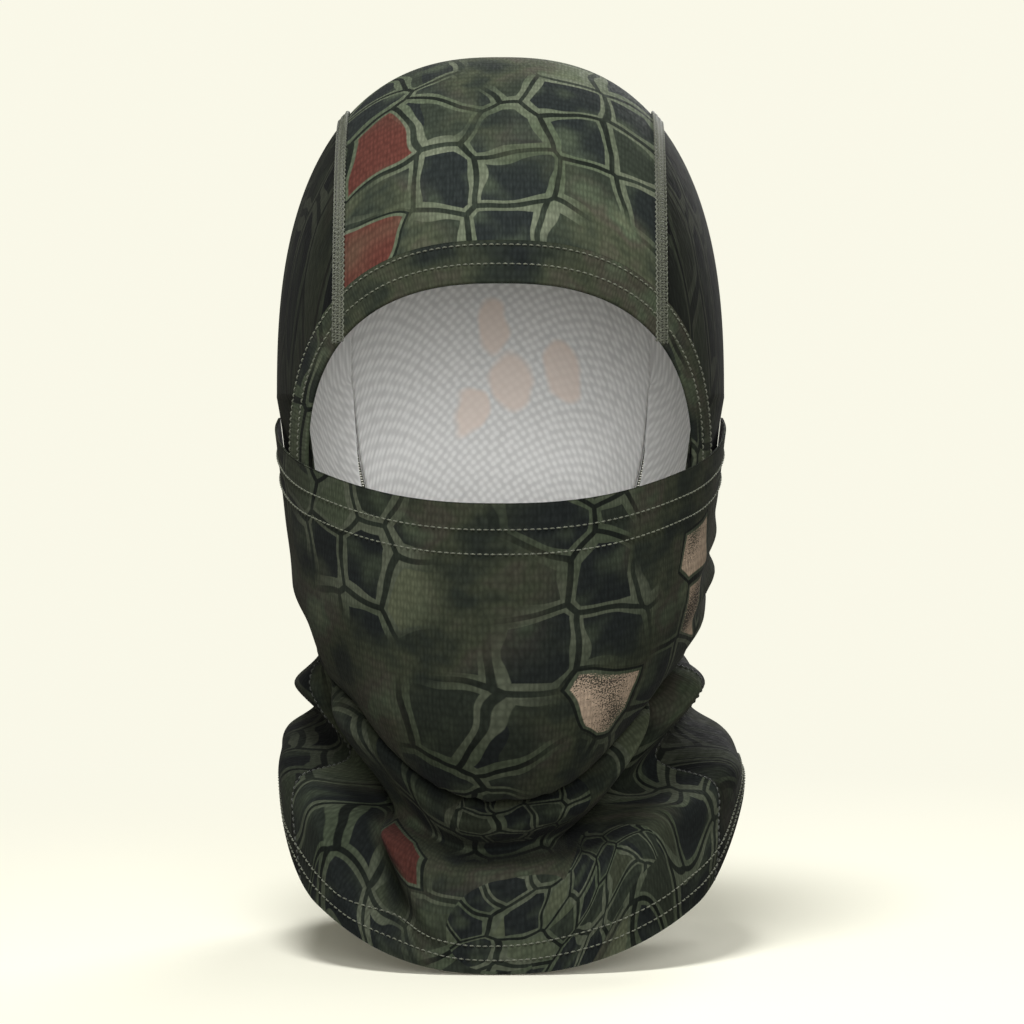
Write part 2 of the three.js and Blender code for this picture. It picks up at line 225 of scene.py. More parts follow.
REAR = [(HOOD_JOIN, EAR), (0.930, 188), (0.885, 168), (0.855, 148), (0.835, 130), (0.825, 116), (0.820, 106),
        (0.835, 97), (0.865, 84), (0.850, 72), (0.900, 56), (0.960, 34), (1.0, 15.5)]
BACK = [(HOOD_JOIN, EAR), (0.935, 188), (0.895, 168), (0.865, 147), (0.845, 128), (0.835, 113), (0.830, 102),
        (0.842, 92), (0.868, 78), (0.860, 64), (0.900, 44), (0.955, 20), (1.0, 0)]
LAST = len(FRONT) - 1
BACK_REACH = (HOOD_DEEP - 0.5) / HOOD_JOIN          # plan depth of the back at the ears
PROFILES = np.array([FRONT, CHEEK, SIDE, REAR, BACK], float)


def station(turn, level, on_hood=False):
    """A point of the neck and mask cloth. turn is in degrees round the neck from the front, positive
    to the left; level counts stations. on_hood joins the first level to the hood at ear height."""
    reach_table = PROFILES.copy()
    if on_hood:
        reach_table[:, 0, 0] = HOOD_JOIN
        reach_table[:, 0, 1] = EAR
    turn, level = np.broadcast_arrays(np.asarray(turn, float), np.asarray(level, float))
    place = np.interp(np.abs(turn), TURNS, range(len(TURNS)))
    column = np.clip(np.floor(place).astype(int), 0, len(TURNS) - 2)
    row = np.clip(np.floor(level).astype(int), 0, LAST - 1)
    across, down = weights(place - column), weights(level - row)
    value = np.zeros(turn.shape + (2,))
    for i in range(4):
        near = np.abs(column + i - 1)
        near = np.where(near > len(TURNS) - 1, 2 * (len(TURNS) - 1) - near, near)
        for j in range(4):
            value += (across[i] * down[j])[..., None] * reach_table[near, np.clip(row + j - 1, 0, LAST)]
    reach, height = value[..., 0], value[..., 1]
    angle = np.radians(turn)
    sine, cosine = np.sin(angle), np.cos(angle)
    height, reach = fold(turn, level, height, reach)
    share = np.clip(level / LAST, 0, 1)
    deep = np.where(cosine > 0, COLLAR_FRONT, BACK_REACH + (COLLAR_FRONT + 3 - BACK_REACH) * share)
    x = COLLAR_WIDE * reach * np.sign(sine) * np.abs(sine) ** PLAN
    y = -deep * reach * np.sign(cosine) * np.abs(cosine) ** PLAN
    lean = 4.0 * ramp(level, 8.5, 11.5) * smooth(1 - np.abs(np.abs(turn) - 80) / 70)
    return np.stack([x + lean, y, height], -1)


def fold(turn, level, height, reach):
    """The uneven folds of the cloth, each at its own turn and level. Sides are the wearer's."""
    arc = turn * ARC

    # gathers under the chin
    chin = bump(level, 5.0, 1.3) * bump(turn, -4, 32)
    gather = np.sin(arc * 2 * math.pi / 9.0) + 0.7 * np.sin(arc * 2 * math.pi / 6.1 + 1.0)
    reach = reach + 0.010 * chin * gather
    height = height + 0.5 * chin * gather

    # drags at the left cheek, a dent and a ridge at the right one
    left_cheek = bump(turn, 78, 34) * bump(level, 3.2, 2.2)
    reach = reach + 0.022 * left_cheek * np.sin(level * 2 * math.pi / 0.85)
    right_cheek = bump(turn, -74, 26) * bump(level, 3.9, 1.0)
    reach = reach - 0.05 * right_cheek
    right_ridge = bump(turn, -60, 24) * bump(level, 4.9, 0.8)
    reach = reach + 0.04 * right_ridge

    # slack in the mask and the neck
    drag = ramp(level, 0.8, 2.5) * (1 - ramp(level, 5.5, 6.5))
    reach = reach + 0.008 * drag * ripple(arc, level * 22.0, 46.0, 3)
    neck = ramp(level, 6.5, 8.0) * (1 - ramp(level, 10.6, 12.0))
    reach = reach + 0.018 * neck * ripple(arc, level * 14.0, 44.0, 5)
    height = height + 2.0 * neck * ripple(arc, level * 10.0, 60.0, 8)

    # a valley down each side of the collar, and a crease under a shelf in front
    right_line = turn + 60 - 10.6 * (level - 8)
    right_valley = bump(right_line, 0, 15) * ramp(level, 7.2, 8.4) * (1 - ramp(level, 10.9, 11.8))
    left_line = turn - 75 + 17 * (level - 6.5)
    left_valley = bump(left_line, 0, 17) * ramp(level, 5.8, 6.8) * (1 - ramp(level, 9.0, 10.2))
    reach = reach - 0.21 * right_valley - 0.19 * left_valley
    crease = bump(level, 9.2 - 0.012 * turn, 0.8) * bump(turn, 8, 48)
    shelf = bump(level, 8.3 - 0.012 * turn, 0.8) * bump(turn, 4, 50)
    reach = reach - 0.10 * crease + 0.035 * shelf

    # the collar's edge waves
    hem = ramp(level, 10.4, 12.0)
    reach = reach + 0.010 * hem * ripple(arc, 0.0, 70.0, 9)
    return height, reach


def side_seam(level):
    return 95.0 - 38.0 * np.asarray(level) / LAST


def back_seam(level):
    """Turn of the back seams, which go on down from the crown seams."""
    start = 180.0 - math.degrees(math.asin((SEAM_X / HOOD_WIDE) ** (1 / PLAN)))
    return start + (150.0 - start) * smooth(np.asarray(level) / 5.0)


# ---- meshes ----

def normals_of(points):
    """Unit normals of a grid of points, along rows x columns."""
    along = np.gradient(points, axis=1)
    down = np.gradient(points, axis=0)
    normal = np.cross(along, down)
    return normal / np.maximum(np.linalg.norm(normal, axis=-1, keepdims=True), 1e-9)


def arc_lengths(points, axis):
    step = np.linalg.norm(np.diff(points, axis=axis), axis=-1)
    pad = [(0, 0), (0, 0)]
    pad[axis] = (1, 0)
    return np.pad(np.cumsum(step, axis=axis), pad)


def faces_inward(points):
    """Whether a grid's own normals point towards the middle of the garment."""
    normal = normals_of(points)
    centre = np.stack([0 * points[..., 0], 0 * points[..., 0], np.minimum(points[..., 2], EAR)], -1)
    return np.sum(normal * (points - centre)) < 0


def cloth(name, points, uv, outside, inside, thick=CLOTH, rim_inside=False):
    """A sheet with thickness from a grid of points in mm; uv is in mm. The grid is the outer face."""
    rows, columns = points.shape[:2]
    flip = faces_inward(points)
    normal = normals_of(points)
    if flip:
        normal = -normal
    inner = points - normal * thick
    vertices = np.concatenate([points.reshape(-1, 3), inner.reshape(-1, 3)]) * MM
    count = rows * columns
    index = np.arange(count).reshape(rows, columns)
    quads = np.stack([index[:-1, :-1], index[1:, :-1], index[1:, 1:], index[:-1, 1:]], -1).reshape(-1, 4)
    if not flip:
        quads = quads[:, ::-1]
    back = quads[:, ::-1] + count
    loop = np.concatenate([index[0, :], index[1:, -1], index[-1, -2::-1], index[-2:0:-1, 0]])
    following = np.roll(loop, -1)
    rim = np.stack([loop, following, following + count, loop + count], -1)
    if flip:
        rim = rim[:, ::-1]
    faces = np.concatenate([quads, back, rim])
    mesh = bpy.data.meshes.new(name)
    mesh.from_pydata(vertices.tolist(), [], faces.tolist())
    layer = mesh.uv_layers.new(name="uv")
    flat_uv = np.concatenate([uv.reshape(-1, 2), uv.reshape(-1, 2)]) * MM
    layer.data.foreach_set("uv", flat_uv[faces.reshape(-1)].astype(np.float32).ravel())
    material_index = np.zeros(len(faces), int)
    material_index[len(quads):2 * len(quads)] = 1
    material_index[2 * len(quads):] = int(rim_inside)
    mesh.materials.append(outside)
    mesh.materials.append(inside)
    mesh.polygons.foreach_set("material_index", material_index)
    mesh.polygons.foreach_set("use_smooth", np.ones(len(faces), bool))
    mesh.update()
    made = bpy.data.objects.new(name, mesh)
    bpy.context.scene.collection.objects.link(made)
    return made


def tubes(name, paths, radius, material, sides=6):
    """Round threads along paths, each a pair of arrays: points and the outward direction at each."""
    vertices, faces, base = [], [], 0
    ring = np.linspace(0, 2 * math.pi, sides, endpoint=False)
    for points, outward in paths:
        tangent = np.gradient(points, axis=0)
        tangent /= np.maximum(np.linalg.norm(tangent, axis=1, keepdims=True), 1e-9)
        across = np.cross(tangent, outward)
        across /= np.maximum(np.linalg.norm(across, axis=1, keepdims=True), 1e-9)
        up = np.cross(across, tangent)
        taper = np.ones(len(points))
        taper[0] = taper[-1] = 0.45
        sideways = across[:, None, :] * np.cos(ring)[None, :, None]
        upward = up[:, None, :] * np.sin(ring)[None, :, None]
        circle = points[:, None, :] + radius * taper[:, None, None] * (sideways + upward)
        vertices.append(circle.reshape(-1, 3))
        count = len(points)
        for i in range(count - 1):
            for j in range(sides):
                k = (j + 1) % sides
                faces.append((base + i * sides + j, base + i * sides + k,
                              base + (i + 1) * sides + k, base + (i + 1) * sides + j))
        faces.append(tuple(base + j for j in reversed(range(sides))))
        faces.append(tuple(base + (count - 1) * sides + j for j in range(sides)))
        base += count * sides
    mesh = bpy.data.meshes.new(name)
    mesh.from_pydata((np.concatenate(vertices) * MM).tolist(), [], faces)
    mesh.materials.append(material)
    mesh.polygons.foreach_set("use_smooth", np.ones(len(faces), bool))
    mesh.update()
    made = bpy.data.objects.new(name, mesh)
    bpy.context.scene.collection.objects.link(made)
    return made


class Run:
    """A line on the cloth, read by distance along it: its places and the outward direction there."""

    def __init__(self, surface, samples=600):
        t = np.linspace(0, 1, samples)
        self.points = surface(t)
        ahead = np.gradient(self.points, axis=0)
        beside = surface(t, 0.5) - surface(t, -0.5)
        self.across = beside / np.maximum(np.linalg.norm(beside, axis=1, keepdims=True), 1e-9)
        outward = np.cross(ahead, beside)
        outward /= np.maximum(np.linalg.norm(outward, axis=1, keepdims=True), 1e-9)
        centre = np.array([0.0, 0.0, EAR - 60.0])
        sign = np.sign(np.sum(outward * (self.points - centre), axis=1).sum())
        self.outward = outward * sign
        self.distance = np.concatenate([[0], np.cumsum(np.linalg.norm(np.diff(self.points, axis=0), axis=1))])

    def at(self, distance):
        def read(values):
            return np.stack([np.interp(distance, self.distance, values[:, i]) for i in range(3)], -1)
        outward = read(self.outward)
        outward /= np.linalg.norm(outward, axis=-1, keepdims=True)
        return read(self.points), read(self.across), outward


def stitches(name, run, lift, material):
    """A row of short stitches lying in the cloth."""
    paths = []
    count = int(run.distance[-1] / STITCH_PITCH)
    for i in range(count):
        along = (i + 0.5) * STITCH_PITCH + np.linspace(-0.5, 0.5, 5) * STITCH_LONG
        points, _, outward = run.at(along)
        height = lift + 0.32 * np.array([-1.0, 0.5, 1.0, 0.5, -1.0])
        paths.append((points + outward * height[:, None], outward))
    return tubes(name, paths, THREAD, material)


def flat_seam(name, run, lift, material):
    """A flatlock seam: two threads that cross from edge to edge over four that run along it."""
    length = run.distance[-1]
    paths = []
    steps = int(length / SEAM_PITCH) * 4
    along = np.linspace(0, length, steps)
    phase = along / SEAM_PITCH * 2 * math.pi
    points, across, outward = run.at(along)
    for shift, sign in ((0.0, 1.0), (math.pi, -1.0)):
        side = np.sin(phase + shift) * SEAM_WIDE * 0.46
        height = lift + 0.35 * np.cos(2 * phase) * sign
        paths.append((points + across * side[:, None] + outward * height[:, None], outward))
    for place in (-0.5, -0.17, 0.17, 0.5):
        height = lift + 0.22 * np.cos(phase + place * 9)
        wander = place * SEAM_WIDE + 0.22 * np.sin(phase + place * 7)
        paths.append((points + across * wander[:, None] + outward * height[:, None], outward))
    return tubes(name, paths, SEAM_THREAD, material, sides=5)


# ---- materials ----

class Nodes:
    """Short ways to build a node tree."""

    def __init__(self, name):
        self.material = bpy.data.materials.new(name)
        self.material.use_nodes = True
        self.tree = self.material.node_tree
        self.shader = self.tree.nodes["Principled BSDF"]

    def put(self, socket, value):
        if isinstance(value, bpy.types.NodeSocket):
            self.tree.links.new(value, socket)
        elif isinstance(value, (tuple, list)) and len(value) == 3 and len(socket.default_value) == 4:
            socket.default_value = (*value, 1.0)
        else:
            socket.default_value = value

    def node(self, kind, **settings):
        made = self.tree.nodes.new(kind)
        for key, value in settings.items():
            setattr(made, key, value)
        return made

    def math(self, operation, a, b=0.0, c=0.0):
        made = self.node("ShaderNodeMath", operation=operation)
        for socket, value in zip(made.inputs, (a, b, c)):
            self.put(socket, value)
        return made.outputs[0]

    def vector(self, operation, a, b=(0, 0, 0)):
        made = self.node("ShaderNodeVectorMath", operation=operation)
        self.put(made.inputs[0], a)
        if operation == "SCALE":
            self.put(made.inputs["Scale"], b)
        else:
            self.put(made.inputs[1], b)
        return made.outputs["Value" if operation in ("DISTANCE", "LENGTH") else "Vector"]

    def uv(self):
        return self.node("ShaderNodeUVMap", uv_map="uv").outputs[0]

    def noise(self, vector, scale, detail=2.0, rough=0.5):
        made = self.node("ShaderNodeTexNoise")
        self.put(made.inputs["Vector"], vector)
        made.inputs["Scale"].default_value = scale
        made.inputs["Detail"].default_value = detail
        made.inputs["Roughness"].default_value = rough
        return made

    def voronoi(self, vector, scale, feature="F1", randomness=0.8):
        made = self.node("ShaderNodeTexVoronoi", feature=feature, voronoi_dimensions="2D")
        self.put(made.inputs["Vector"], vector)
        self.put(made.inputs["Scale"], scale)
        made.inputs["Randomness"].default_value = randomness
        return made

    def span(self, value, low, high, to_low=0.0, to_high=1.0, smoothly=True):
        made = self.node("ShaderNodeMapRange")
        made.interpolation_type = "SMOOTHSTEP" if smoothly else "LINEAR"
        for socket, item in zip(made.inputs[:5], (value, low, high, to_low, to_high)):
            self.put(socket, item)
        return made.outputs[0]

    def mix(self, share, a, b, blend="MIX"):
        made = self.node("ShaderNodeMix", data_type="RGBA", blend_type=blend)
        self.put(made.inputs["Factor"], share)
        self.put(made.inputs["A"], a)
        self.put(made.inputs["B"], b)
        return made.outputs["Result"]

    def ramp(self, value, stops):
        made = self.node("ShaderNodeValToRGB")
        self.put(made.inputs[0], value)
        elements = made.color_ramp.elements
        while len(elements) < len(stops):
            elements.new(0.5)
        for element, (place, colour) in zip(elements, stops):
            element.position = place
            element.color = (*colour, 1.0)
        return made.outputs[0]


INK = (0.0125, 0.0160, 0.0155)         # the darkest scales
PINE = (0.022, 0.028, 0.020)
MOSS = (0.044, 0.051, 0.031)
FERN = (0.060, 0.076, 0.047)
OLIVE = (0.100, 0.112, 0.068)
BARK = (0.052, 0.050, 0.036)
RIM = (0.105, 0.118, 0.082)
GROOVE = (0.008, 0.011, 0.008)
RUST = (0.074, 0.024, 0.018)
SAND = (0.50, 0.385, 0.285)


def knit(n, uv):
    """Column streaks of the mesh knit: brightness, and height for the bump."""
    stretch = n.vector("MULTIPLY", uv, (1.0, 0.26, 1.0))
    streaks = n.noise(stretch, 900.0, 1.0, 0.4).outputs[0]
    columns = n.voronoi(n.vector("MULTIPLY", uv, (1.0, 0.42, 1.0)), 760.0, "F1", 0.35).outputs["Distance"]
    return n.math("SUBTRACT", streaks, 0.5), columns


def net(n, placed, cell, width):
    """One net of scales: colour, distance to the nearest groove, and the middle of each scale."""
    wobble = n.noise(placed, 0.62 / cell, 1.5)
    push = n.vector("SCALE", n.vector("SUBTRACT", wobble.outputs["Color"], (0.5, 0.5, 0.5)), cell * 0.75)
    warped = n.vector("ADD", placed, push)
    cells = n.voronoi(warped, 1.0 / cell, "F1", 0.60)
    edge = n.voronoi(warped, 1.0 / cell, "DISTANCE_TO_EDGE", 0.60).outputs["Distance"]
    home = cells.outputs["Position"]
    chance = n.node("ShaderNodeTexWhiteNoise", noise_dimensions="2D")
    n.put(chance.inputs["Vector"], home)
    scales = [(0.0, INK), (0.62, INK), (0.66, PINE), (0.78, PINE), (0.84, MOSS), (0.90, FERN), (0.97, OLIVE)]
    inner = n.ramp(chance.outputs["Value"], scales)
    fade = n.noise(placed, 1.5 / cell, 1.0).outputs[0]
    inner = n.mix(n.math("MULTIPLY", n.span(fade, 0.48, 0.76), 0.6), inner, FERN)
    vary = n.noise(placed, 0.95 / cell, 1.0).outputs[0]
    rim_width = n.span(vary, 0.36, 0.70, 0.088, width)
    rim_noise = n.noise(placed, 0.55 / cell, 2.0).outputs[0]
    rim_colour = n.mix(n.span(rim_noise, 0.36, 0.64), FERN, RIM)
    colour = n.mix(n.span(edge, rim_width, n.math("ADD", rim_width, 0.014)), rim_colour, inner)
    gap = n.mix(n.span(rim_noise, 0.45, 0.60), GROOVE, PINE)
    lined = n.math("SUBTRACT", 1.0, n.span(edge, 0.036, 0.050))
    return n.mix(lined, colour, gap), edge, home


def camouflage(name, cell=0.0250, stretch=(1.0, 1.0), soft=0.5, tone=1.0, marks=(),
               shift=(0.0, 0.0), small=()):
    """The scale print on the knit. cell is a scale's size in metres, soft the share of blurred ground and
    tone a painted light level for the whole print: the same knit is lightened on the crown and darkened on the
    front, hem and sides as painted light and shade.
    marks are (u, v, radius, colour) whose scales take that colour; small are (u, v, radius) of finer net."""
    n = Nodes(name)
    uv = n.uv()
    placed = n.vector("ADD", n.vector("MULTIPLY", uv, (stretch[0], stretch[1], 1.0)), (*shift, 0.0))

    def disc(u, v, radius, edge_share=0.35):
        middle = (u * stretch[0] + shift[0], v * stretch[1] + shift[1], 0.0)
        away = n.vector("DISTANCE", placed, middle)
        return n.span(away, radius * (1 + edge_share), radius * (1 - edge_share))

    colour, edge, home = net(n, placed, cell, 0.19)
    fine_share = 0.0
    if small:
        finer, fine_edge, fine_home = net(n, placed, cell * 0.50, 0.17)
        fine_share = disc(*small[0])
        for place in small[1:]:
            fine_share = n.math("MAXIMUM", fine_share, disc(*place))
        fine_share = n.math("GREATER_THAN", fine_share, 0.5)
        colour = n.mix(fine_share, colour, finer)

    # where the print blurs, the net gives way to cloudy ground
    cloud = n.noise(placed, 30.0, 3.0, 0.55).outputs[0]
    clouds = [(0.32, INK), (0.42, PINE), (0.50, MOSS), (0.57, BARK), (0.64, FERN), (0.74, OLIVE)]
    ground = n.ramp(cloud, clouds)
    patch = n.noise(n.vector("ADD", placed, (3.1, 1.7, 0.0)), 14.0, 1.5).outputs[0]
    clear = n.span(patch, soft - 0.05, soft + 0.05)
    clear = n.math("MAXIMUM", clear, fine_share)

    for number, (u, v, radius, tint) in enumerate(marks):
        away = n.vector("DISTANCE", n.vector("MULTIPLY", home, (1, 1, 0)),
                        (u * stretch[0] + shift[0], v * stretch[1] + shift[1], 0.0))
        inside = n.math("LESS_THAN", away, radius)
        clear = n.math("MAXIMUM", clear, inside)
        body = n.math("MULTIPLY", inside, n.span(edge, 0.085, 0.105))
        grain = n.noise(placed, 1700.0, 0.0).outputs[0]
        shade = n.noise(n.vector("ADD", placed, (0.3 * number, 0.7, 0.0)), 48.0, 0.5).outputs[0]
        if tint is SAND:
            speckle = n.span(n.math("ADD", grain, n.math("MULTIPLY", shade, 1.3)), 0.98, 1.16)
            body = n.math("MULTIPLY", body, n.math("ADD", 0.10, n.math("MULTIPLY", speckle, 0.90)))
        else:
            body = n.math("MULTIPLY", body, n.span(shade, 0.25, 0.55, 0.72, 1.0))
        colour = n.mix(body, colour, tint)
    colour = n.mix(clear, ground, colour)

    fine, columns = knit(n, uv)
    lift = n.math("ADD", 1.06, n.math("MULTIPLY", fine, 0.62))
    # painted light and shade: tone multiplies the whole print, lighter on the crown and darker on the front,
    # hem and sides
    lift = n.math("MULTIPLY", lift, n.span(columns, 0.12, 0.55, 1.08 * tone, 0.80 * tone))
    colour = n.vector("SCALE", colour, lift)
    n.put(n.shader.inputs["Base Color"], colour)
    n.put(n.shader.inputs["Roughness"], n.span(fine, -0.2, 0.2, 0.92, 0.74))
    n.shader.inputs["Sheen Weight"].default_value = 0.02
    n.shader.inputs["Sheen Roughness"].default_value = 0.6
    n.shader.inputs["Specular IOR Level"].default_value = 0.08
    relief = n.node("ShaderNodeBump")
    relief.inputs["Strength"].default_value = 0.45
    relief.inputs["Distance"].default_value = 0.0004
    n.put(relief.inputs["Height"], n.math("SUBTRACT", fine, n.math("MULTIPLY", columns, 0.6)))
    n.put(n.shader.inputs["Normal"], relief.outputs[0])
    return n.material


def lining(name, glows=()):
    """The back of the knit: pale grey mesh. glows are (u, v, radius) where a warm scale shows through."""
    n = Nodes(name)
    uv = n.uv()
    turned = n.node("ShaderNodeVectorRotate", rotation_type="Z_AXIS")
    n.put(turned.inputs["Vector"], uv)
    turned.inputs["Angle"].default_value = 0.62
    eyelets = n.voronoi(turned.outputs[0], 330.0, "SMOOTH_F1", 0.22).outputs["Distance"]
    streak = n.noise(n.vector("MULTIPLY", uv, (1.0, 0.3, 1.0)), 700.0, 1.0).outputs[0]
    mottle = n.noise(uv, 30.0, 2.0).outputs[0]
    tone = n.math("ADD", n.span(eyelets, 0.15, 0.55, 0.86, 0.63), n.math("MULTIPLY", mottle, 0.07))
    tone = n.math("ADD", tone, n.math("MULTIPLY", streak, 0.06))
    grey = n.node("ShaderNodeCombineColor")
    n.put(grey.inputs[0], tone)
    n.put(grey.inputs[1], tone)
    n.put(grey.inputs[2], n.math("MULTIPLY", tone, 0.985))
    colour = grey.outputs[0]
    drift = n.noise(uv, 60.0, 1.0).outputs["Color"]
    wandering = n.vector("ADD", uv, n.vector("SCALE", n.vector("SUBTRACT", drift, (0.5, 0.5, 0.5)), 0.010))
    for u, v, radius in glows:
        away = n.vector("SUBTRACT", wandering, (u, v, 0.0))
        away = n.vector("LENGTH", n.vector("MULTIPLY", away, (1.0, 0.7, 0.0)))
        share = n.math("MULTIPLY", n.span(away, radius * 1.15, radius * 0.75), 0.75)
        colour = n.mix(share, colour, (0.90, 0.76, 0.67))
    n.put(n.shader.inputs["Base Color"], colour)
    n.shader.inputs["Roughness"].default_value = 0.9
    n.shader.inputs["Specular IOR Level"].default_value = 0.15
    relief = n.node("ShaderNodeBump")
    relief.inputs["Strength"].default_value = 0.35
    relief.inputs["Distance"].default_value = 0.0004
    n.put(relief.inputs["Height"], eyelets)
    n.put(n.shader.inputs["Normal"], relief.outputs[0])
    return n.material


def thread_material(name, colour):
    n = Nodes(name)
    place = n.node("ShaderNodeTexCoord").outputs["Object"]
    twist = n.noise(place, 1400.0, 1.0).outputs[0]
    shaded = tuple(0.55 * c for c in colour)
    n.put(n.shader.inputs["Base Color"], n.mix(n.span(twist, 0.3, 0.7), shaded, colour))
    n.shader.inputs["Roughness"].default_value = 0.55
    n.shader.inputs["Sheen Weight"].default_value = 0.2
    return n.material


inside = lining("lining")
# painted shade: the sides' print is darkened to tone 0.28 and the face hem's to 0.80, shaded copies of the one
# knit
shaded_side_print = camouflage("shaded_side_print", cell=0.024, stretch=(1.7, 0.62), soft=0.42, tone=0.28)
shaded_hem_print = camouflage("shaded_hem_print", soft=0.52, tone=0.80, shift=(0.4, 0.2))
seam_thread = thread_material("seam_thread", (0.105, 0.114, 0.078))
hidden_thread = thread_material("hidden_thread", (0.030, 0.035, 0.025))
stitch_thread = thread_material("stitch_thread", (0.135, 0.145, 0.100))

# places in mm, from the front: (x, height, reach of the mark, colour), and finer net without a colour
CROWN_MARKS = [(-45, 309, 12, RUST), (-45, 283, 12, RUST)]
FRONT_MARKS = [(34, 108, 12, SAND), (55, 122, 12, SAND), (72, 150, 13, SAND), (76, 134, 12, SAND),
               (35, 92, 9, SAND), (-41, 84, 9, RUST), (-40, 46, 9, RUST), (-58, 34, 11, RUST)]
GLOWS = [(-4, 240, 8), (4, 217, 9), (-13, 207, 7), (26, 223, 8)]
FINE_NET = [(12, 60, 24), (38, 34, 26), (5, 18, 18)]


def on_print(points, uv, x, height, nearness=0.12):
    """Where the cloth's foremost place at this x and height lies on its print."""
    away = np.hypot(points[..., 0] - x, points[..., 2] - height) + nearness * points[..., 1]
    row, column = np.unravel_index(np.argmin(away), away.shape)
    return tuple(uv[row, column] * MM)


def placed_marks(points, uv, marks):
    return [(*on_print(points, uv, x, height), reach * MM, *colour) for x, height, reach, *colour in marks]


# ---- cloth pieces ----

def grid(rows, columns):
    """Row and column shares of a grid."""
    return np.meshgrid(np.linspace(0, 1, rows), np.linspace(0, 1, columns), indexing="ij")


def even(lengths, reach=30):
    """Lengths smoothed across the cloth, so that small folds do not shift the print."""
    kernel = np.hanning(2 * reach + 1)
    padded = np.pad(lengths, [(0, 0), (reach, reach)], mode="edge")
    return np.stack([np.convolve(row, kernel / kernel.sum(), mode="valid") for row in padded])


def front_point(turn_share, level):
    return station(turn_share * side_seam(level), level)


def front_cloth():
    """Mask, throat and collar in one piece, from the mask's edge to the collar's."""
    down, over = grid(205, 232)
    level = down * LAST
    points = front_point(2 * over - 1, level)
    uv = np.stack([(2 * over - 1) * side_seam(level) * FRONT_PRINT, even(arc_lengths(points, 0))], -1)
    marks = placed_marks(points, uv, FRONT_MARKS)
    fine = placed_marks(points, uv, FINE_NET)
    # painted shade: the front's print is darkened to tone 0.60, a shaded copy of the one knit
    shaded_front_print = camouflage("shaded_front_print", marks=marks, soft=0.49, tone=0.60, small=fine)
    return cloth("front_cloth", points, uv, shaded_front_print, inside)


def crown_cloth():
    """The centre strip, from the brow over the crown and down the back to the collar."""
    columns = 90
    rows_over, rows_down = 150, 110
    t, over = grid(rows_over, columns)
    x = (2 * over - 1) * (SEAM_X + SEAM_LAP)
    start = hood_front_angle(x, brow_height(np.abs(x), UNDER_HEM))
    dome = hood_point(x, start + (math.pi - start) * t)
    down, over = grid(rows_down, columns)
    level = down * LAST
    sine = (2 * over - 1) * np.sin(np.radians(back_seam(level))) ** PLAN
    turn = np.sign(sine) * (180 - np.degrees(np.arcsin(np.abs(sine) ** (1 / PLAN))))
    turn = np.where(sine == 0, 180.0, turn)
    back = station(turn, level, True)
    points = np.concatenate([dome, back[1:]])
    uv = np.stack([(2 * np.concatenate([over[:1].repeat(rows_over, 0), over[1:]]) - 1) * SEAM_X,
                   arc_lengths(points, 0)], -1)
    marks = placed_marks(dome, uv[:rows_over], CROWN_MARKS)
    # painted light: the crown's print is lightened to tone 1.25, a lit copy of the one knit
    lit_crown_print = camouflage("lit_crown_print", marks=marks, soft=0.46, tone=1.25, shift=(0.03, 0.02))
    glows = [(*on_print(points, uv, x, height, nearness=-0.12), reach * MM) for x, height, reach in GLOWS]
    return cloth("crown_cloth", points, uv, lit_crown_print, lining("crown_lining", glows), rim_inside=True)


def side_cloth(side, name):
    """A side piece, from the crown seam down to the collar, between the side and back seams."""
    columns = 130
    rows_up, rows_down = 70, 130
    up, over = grid(rows_up, columns)
    top_start = float(hood_front_angle(np.array(SEAM_X), brow_height(SEAM_X, UNDER_HEM)))
    arc = top_start + (math.pi - 0.02 - top_start) * over
    top = hood_point(np.full_like(arc, SEAM_X), arc)[..., 1:]
    arch_end = math.acos((SEAM_X / (FACE_WIDE + 3.4)) ** (1 / PLAN)) / (math.pi / 2)
    ear_end = math.asin(((EAR - FACE_BASE) / (FACE_ARCH + 7.5)) ** (1 / PLAN)) / (math.pi / 2)
    climb = ear_end + (arch_end - ear_end) * np.linspace(0, 1, rows_up)
    front_edge = face_edge(SKIRT_SHARE + (0.5 - SKIRT_SHARE) * climb, np.full(rows_up, 8.0))[:, 1:]
    seam_turn = float(back_seam(0.0))
    back_y = station(np.array(seam_turn), np.array(0.0), True)[1]
    base_y = front_edge[0, 0] + (back_y - front_edge[0, 0]) * over
    straight_front = front_edge[0] + (top[0, 0] - front_edge[0]) * up[..., None]
    lean_in = (front_edge[:, None, :] - straight_front) * (1 - over)[..., None] ** 2
    y = base_y + (top[..., 0] - base_y) * up + lean_in[..., 0]
    z = EAR + (top[..., 1] - EAR) * up + lean_in[..., 1]
    dome = hood_side(side, y, z)

    down, over = grid(rows_down, columns)
    level = down * LAST
    base_point = hood_side(1.0, base_y[0], np.full(columns, EAR))
    sideways = (np.abs(base_point[:, 0]) / HOOD_WIDE) ** (1 / PLAN)
    forwards = -np.sign(base_y[0]) * (np.abs(base_y[0]) / (HOOD_DEEP - 0.5)) ** (1 / PLAN)
    base_turn = np.degrees(np.arctan2(sideways, forwards))
    lower_turn = side_seam(level) + (back_seam(level) - side_seam(level)) * over
    settle = smooth((level - 1.0) / 3.0)
    turn = base_turn[None, :] + (lower_turn - base_turn[None, :]) * settle
    lower = station(side * turn, level, True)
    cheek = ramp(turn, 96.0, 80.0) * (1 - ramp(level, 4.0, 5.0))
    lower[..., 0] -= side * 6.0 * cheek * smooth(level)
    points = np.concatenate([dome[::-1], lower[1:]])
    uv = np.stack([points[..., 1] + 20 * side, even(arc_lengths(points, 0))], -1)
    return cloth(name, points, uv, shaded_side_print, inside)


crown = crown_cloth()
left_side = side_cloth(1, "left_side_cloth")
right_side = side_cloth(-1, "right_side_cloth")
front = front_cloth()


# ---- hems ----

